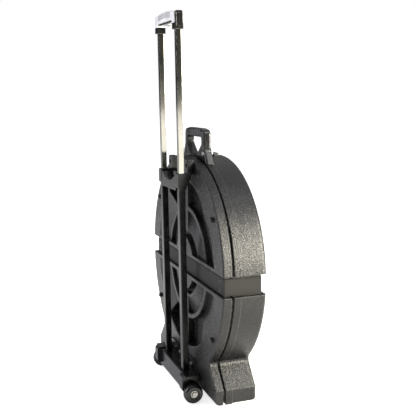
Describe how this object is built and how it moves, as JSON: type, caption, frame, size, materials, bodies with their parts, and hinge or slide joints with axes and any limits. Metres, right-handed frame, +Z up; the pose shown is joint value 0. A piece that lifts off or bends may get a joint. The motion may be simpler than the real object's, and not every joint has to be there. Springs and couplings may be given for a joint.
{
  "type": "wheeled cymbal case",
  "caption": "Round hard-shell cymbal case on a flared foot with a telescopic towing handle, small wheels, a carry handle and a web strap.",
  "frame": {"origin": "on the floor under the middle of the bounding box", "axes": "+Z up; +X along the wheel axle to the right as seen from the towing-handle side; +Y from the towing handle towards the removable front shell"},
  "size_m": [0.6776, 0.1944, 1.176],
  "materials": {
    "moulded_shell": "pebbled moulded polyethylene",
    "lining_foam": "soft brushed foam lining",
    "felt": "felt",
    "webbing": "woven webbing",
    "stud_black": "gloss black",
    "zinc_steel": "zinc plated",
    "moulded_hard": "satin black nylon",
    "tube_black": "gloss black coating",
    "grip_silver": "silver grey",
    "button_grey": "mid grey",
    "soft_grip": "soft black",
    "wheel_tyre": "gloss black polyurethane",
    "wheel_hub": "black"
  },
  "bodies": {
    "case": {"back_shell": "moulded_shell", "back_liner": "lining_foam", "dome_bolts": "stud_black", "dome_nuts": "zinc_steel", "post_base": "zinc_steel", "post_screws": "zinc_steel", "centre_post": "zinc_steel", "post_sleeve": "moulded_hard", "post_felts": "felt", "strap_rear": "webbing", "strap_rivets": "stud_black", "upper_bracket": "moulded_hard", "wall_bolts": "zinc_steel", "wall_nuts": "zinc_steel", "outer_tube_left": "tube_black", "outer_tube_right": "tube_black", "tube_bush_left": "moulded_hard", "tube_bush_right": "moulded_hard", "axle_housing": "moulded_hard", "axle_bolt_left": "zinc_steel", "axle_bolt_right": "zinc_steel", "bearing_inner_left": "zinc_steel", "bearing_inner_right": "zinc_steel"},
    "lid": {"front_shell": "moulded_shell", "front_liner": "lining_foam", "rim_liner": "lining_foam", "strap_front": "webbing", "front_rivets": "stud_black", "buckle_female": "moulded_hard", "buckle_male": "moulded_hard", "carry_handle": "moulded_hard", "carry_grip": "soft_grip", "handle_anchors": "zinc_steel", "handle_bolts": "zinc_steel", "lid_nuts": "zinc_steel", "crest_pad": "soft_grip", "front_feet": "soft_grip", "foot_screws": "zinc_steel"},
    "pull_handle": {"inner_tube_left": "tube_black", "inner_tube_right": "tube_black", "tube_glide_left": "moulded_hard", "tube_glide_right": "moulded_hard", "grip_core": "moulded_hard", "grip_cover": "grip_silver", "grip_ends": "moulded_hard"},
    "release": {"release_button": "button_grey", "release_rod_left": "zinc_steel", "release_rod_right": "zinc_steel"},
    "pin_left": {"lock_pin_left": "zinc_steel"},
    "pin_right": {"lock_pin_right": "zinc_steel"},
    "wheel_left": {"tyre_left": "wheel_tyre", "hub_left": "wheel_hub", "bearing_outer_left": "zinc_steel", "bearing_balls_left": "zinc_steel"},
    "wheel_right": {"tyre_right": "wheel_tyre", "hub_right": "wheel_hub", "bearing_outer_right": "zinc_steel", "bearing_balls_right": "zinc_steel"},
    "lift_washer": {"post_washer": "zinc_steel"},
    "wing": {"wing_nut": "zinc_steel"}
  },
  "joints": [
    {"name": "lid_off", "type": "slide", "parent": "case", "child": "lid", "axis": [0, 1, 0], "range_m": [0, 0.25]},
    {"name": "handle_slide", "type": "slide", "parent": "case", "child": "pull_handle", "axis": [0, -0.0165, 0.9999], "range_m": [-0.42, 0]},
    {"name": "button_press", "type": "slide", "parent": "pull_handle", "child": "release", "axis": [0, -0.0165, 0.9999], "range_m": [0, 0.004], "stiffness_N_per_m": 1500, "springref_m": -0.002},
    {"name": "pin_left_slide", "type": "slide", "parent": "pull_handle", "child": "pin_left", "axis": [-1, 0, 0], "range_m": [0, 0.001]},
    {"name": "pin_right_slide", "type": "slide", "parent": "pull_handle", "child": "pin_right", "axis": [1, 0, 0], "range_m": [0, 0.001]},
    {"name": "wheel_left_spin", "type": "hinge", "parent": "case", "child": "wheel_left", "pos_m": [0, -0.0658, 0.03], "axis": [1, 0, 0], "continuous": true},
    {"name": "wheel_right_spin", "type": "hinge", "parent": "case", "child": "wheel_right", "pos_m": [0, -0.0658, 0.03], "axis": [1, 0, 0], "continuous": true},
    {"name": "nut_lift", "type": "slide", "parent": "case", "child": "lift_washer", "axis": [0, 1, 0], "range_m": [0, 0.01]},
    {"name": "nut_spin", "type": "hinge", "parent": "lift_washer", "child": "wing", "pos_m": [0, 0.0562, 0.403], "axis": [0, 1, 0], "range_deg": [0, 2900]}
  ],
  "couplings": [
    {"joint": "pin_left_slide", "follows": "button_press", "ratio": 0.25},
    {"joint": "pin_right_slide", "follows": "button_press", "ratio": 0.25},
    {"joint": "nut_spin", "follows": "nut_lift", "rad_per_m": 5026.5}
  ]
}
